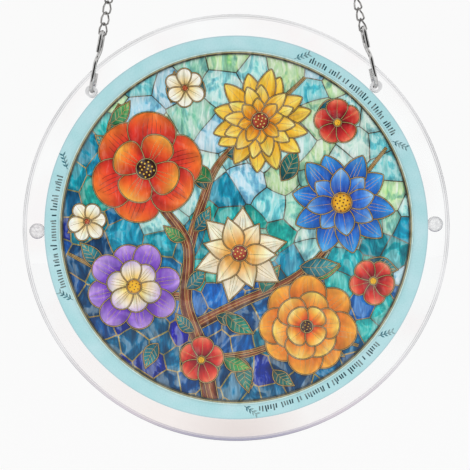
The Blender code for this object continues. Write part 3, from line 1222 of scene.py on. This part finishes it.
def make_link():
    """Model one curb link: a wire loop, stretched, then twisted end to end."""
    bpy.ops.object.select_all(action="DESELECT")
    bpy.ops.mesh.primitive_torus_add(
        major_segments=LINK_CORNERS, minor_segments=LINK_SIDES, major_radius=link_half_width,
        minor_radius=CHAIN_WIRE / 2, rotation=(math.pi / 2, 0, 0),
    )
    link = bpy.context.object
    settle(link)
    bpy.ops.object.mode_set(mode="EDIT")
    bpy.ops.mesh.select_all(action="DESELECT")
    bpy.ops.object.mode_set(mode="OBJECT")
    stretch = link_half_length - link_half_width
    for half in (-1, 1):
        for vertex in link.data.vertices:
            vertex.select = vertex.co.z * half > 1e-7
        bpy.ops.object.mode_set(mode="EDIT")
        bpy.ops.transform.translate(value=(0, 0, half * stretch))
        bpy.ops.mesh.select_all(action="DESELECT")
        bpy.ops.object.mode_set(mode="OBJECT")
    reach = (link_half_length + CHAIN_WIRE / 2) / link_half_length
    apply_modifier(
        link, "SIMPLE_DEFORM", deform_method="TWIST", deform_axis="Z",
        angle=2 * LINK_TWIST * reach,
    )
    return link


def make_chain(side, name, link, steel):
    """Lay a chain's links up the strand and join them."""
    place = strand_place(side)
    turn = Matrix.Rotation(LINK_TURN, 4, "Z")
    copies = []
    for i in range(LINKS_PER_CHAIN):
        copy = add_object(link.name, link.data.copy())
        copy.matrix_world = place @ Matrix.Translation((0, 0, first_link + i * LINK_PITCH)) @ turn
        copies.append(copy)
    bpy.ops.object.select_all(action="DESELECT")
    for copy in copies:
        copy.select_set(True)
    bpy.context.view_layer.objects.active = copies[0]
    bpy.ops.object.join()
    chain = bpy.context.object
    chain.data.materials.append(steel)
    shade_smooth(chain, 70.0)
    finish_piece(chain, f"{name}_curb_chain", "plated_steel", f"{name}_chain")


def make_ring(steel):
    """Bend the round hanging ring."""
    bpy.ops.object.select_all(action="DESELECT")
    bpy.ops.mesh.primitive_torus_add(
        major_segments=RING_CORNERS, minor_segments=RING_SIDES, major_radius=ring_radius,
        minor_radius=RING_WIRE / 2, location=ring_centre, rotation=(math.pi / 2, 0, 0),
    )
    ring = bpy.context.object
    ring.data.materials.append(steel)
    shade_smooth(ring, 60.0)
    finish_piece(ring, "wire_ring", "plated_steel", "hanging_ring")


# Studio

def soft_step(tree, value, edge, before, after):
    """Return one number before an edge's start and another after its end, with a soft change."""
    return node(tree, "ShaderNodeMapRange", {
        "interpolation_type": "SMOOTHSTEP", "Value": value, "From Min": edge[0],
        "From Max": edge[1], "To Min": before, "To Max": after,
    }).outputs[0]


def choose(tree, test, first, second):
    """Return the second value where a test is one, and the first elsewhere."""
    return node(tree, "ShaderNodeMix", {0: test, 2: first, 3: second}).outputs[0]


def make_world():
    """Light the studio: pale all round, with flags and a ceiling that only gloss and glass see.

    The dark flag before the disc draws the dark line on the wire and keeps glare off the
    print. The one behind it does so for the disc's back. The lavender-grey ceiling draws the
    rounded lower edge of the clear disc. Light that comes through the disc to the print is
    made stronger, because little of it gets through at this number of samples.
    """
    world = bpy.data.worlds.new("pale_studio")
    bpy.context.scene.world = world
    world.use_nodes = True
    world.cycles.sampling_method = "NONE"
    tree = world.node_tree
    place = node(tree, "ShaderNodeTexCoord", {}).outputs["Generated"]
    way = node(tree, "ShaderNodeSeparateXYZ", {"Vector": place}).outputs
    ray = node(tree, "ShaderNodeLightPath", {}).outputs
    through = ray["Is Transmission Ray"]
    direct = calculate(tree, "LESS_THAN", ray["Diffuse Depth"], 0.5)
    seen = calculate(tree, "MULTIPLY", direct, through)
    flags = [soft_step(tree, way["Y"], edge, 1.0, FLAG_LIGHT) for edge in (FRONT_FLAG, REAR_FLAG)]
    above = calculate(tree, "MULTIPLY", soft_step(tree, way["Z"], CEILING_EDGE, 0.0, 1.0), seen)
    strength = choose(tree, ray["Is Glossy Ray"], 1.0, calculate(tree, "MINIMUM", *flags))
    strength = choose(tree, through, strength, THROUGH_GLASS_LIGHT)
    settle_node(tree.nodes["Background"], {
        "Color": blend(tree, above, rgba("#FAFAFA"), rgba("#918FA2")),
        "Strength": choose(tree, seen, strength, CLEAR_VIEW_LIGHT),
    })


def make_softbox():
    """Hang one large soft light high at the left."""
    lamp = bpy.data.lights.new("softbox", "AREA")
    lamp.size = 0.6
    lamp.energy = 0.6
    softbox = add_object("softbox", lamp)
    softbox.location = (-0.75, -0.75, 0.45)
    aim = Vector((0, 0, disc_centre.z)) - softbox.location
    softbox.rotation_euler = aim.to_track_quat("-Z", "Y").to_euler()


def make_floor():
    """Lay the plain pale floor."""
    bpy.ops.object.select_all(action="DESELECT")
    bpy.ops.mesh.primitive_circle_add(
        vertices=64, radius=FLOOR_RADIUS, fill_type="NGON", location=(0, 0, cad_low.z - FLOOR_DROP)
    )
    floor = bpy.context.object
    floor.name = "studio_floor"
    material, tree, shader = new_material("matt_white_paint", {
        "Base Color": rgba("#FFFFFF"), "Roughness": 0.9, "Specular IOR Level": 0.0,
    })
    floor.data.materials.append(material)
    settle(floor)


def make_camera():
    """Set the camera at the photograph's viewing angle."""
    camera = add_object("camera", bpy.data.cameras.new("camera"))
    face = Vector((disc_centre.x, disc_low.y, disc_centre.z))
    metres_per_pixel = disc_radius / DISC_PIXEL_RADIUS
    aim = face + metres_per_pixel * Vector((
        FRAME_PIXELS / 2 - DISC_PIXEL_CENTRE[0], 0, DISC_PIXEL_CENTRE[1] - FRAME_PIXELS / 2,
    ))
    camera.location = aim - Vector((0, CAMERA_DISTANCE, 0))
    camera.rotation_mode = "QUATERNION"
    upright = Vector((0, 1, 0)).to_track_quat("-Z", "Y").to_matrix().to_4x4()
    camera.rotation_quaternion = (upright @ Matrix.Rotation(CAMERA_ROLL, 4, "Z")).to_quaternion()
    focal_pixels = CAMERA_DISTANCE / metres_per_pixel
    camera.data.sensor_width = SENSOR_WIDTH
    camera.data.lens = SENSOR_WIDTH * focal_pixels / FRAME_PIXELS
    camera.data.clip_start = 0.01
    bpy.context.scene.camera = camera


bpy.context.scene.view_settings.view_transform = "Standard"
make_world()
make_softbox()
make_floor()
make_camera()
make_disc()
make_panel()
make_prints()
steel = plated_wire("nickel_plated_steel", "#B2B1B0", "#D0CFCE", 0.10)
# The links take a darker copy of the plating: painted shade among the crowded links.
shaded_link_steel = plated_wire("nickel_plated_links", "#82807F", "#BAB8B6", 0.18)
link = make_link()
for side, name in ((-1, "left"), (1, "right")):
    make_pad(side, name)
    make_hook(side, name, steel)
    make_chain(side, name, link, shaded_link_steel)
bpy.data.objects.remove(link)
make_ring(steel)
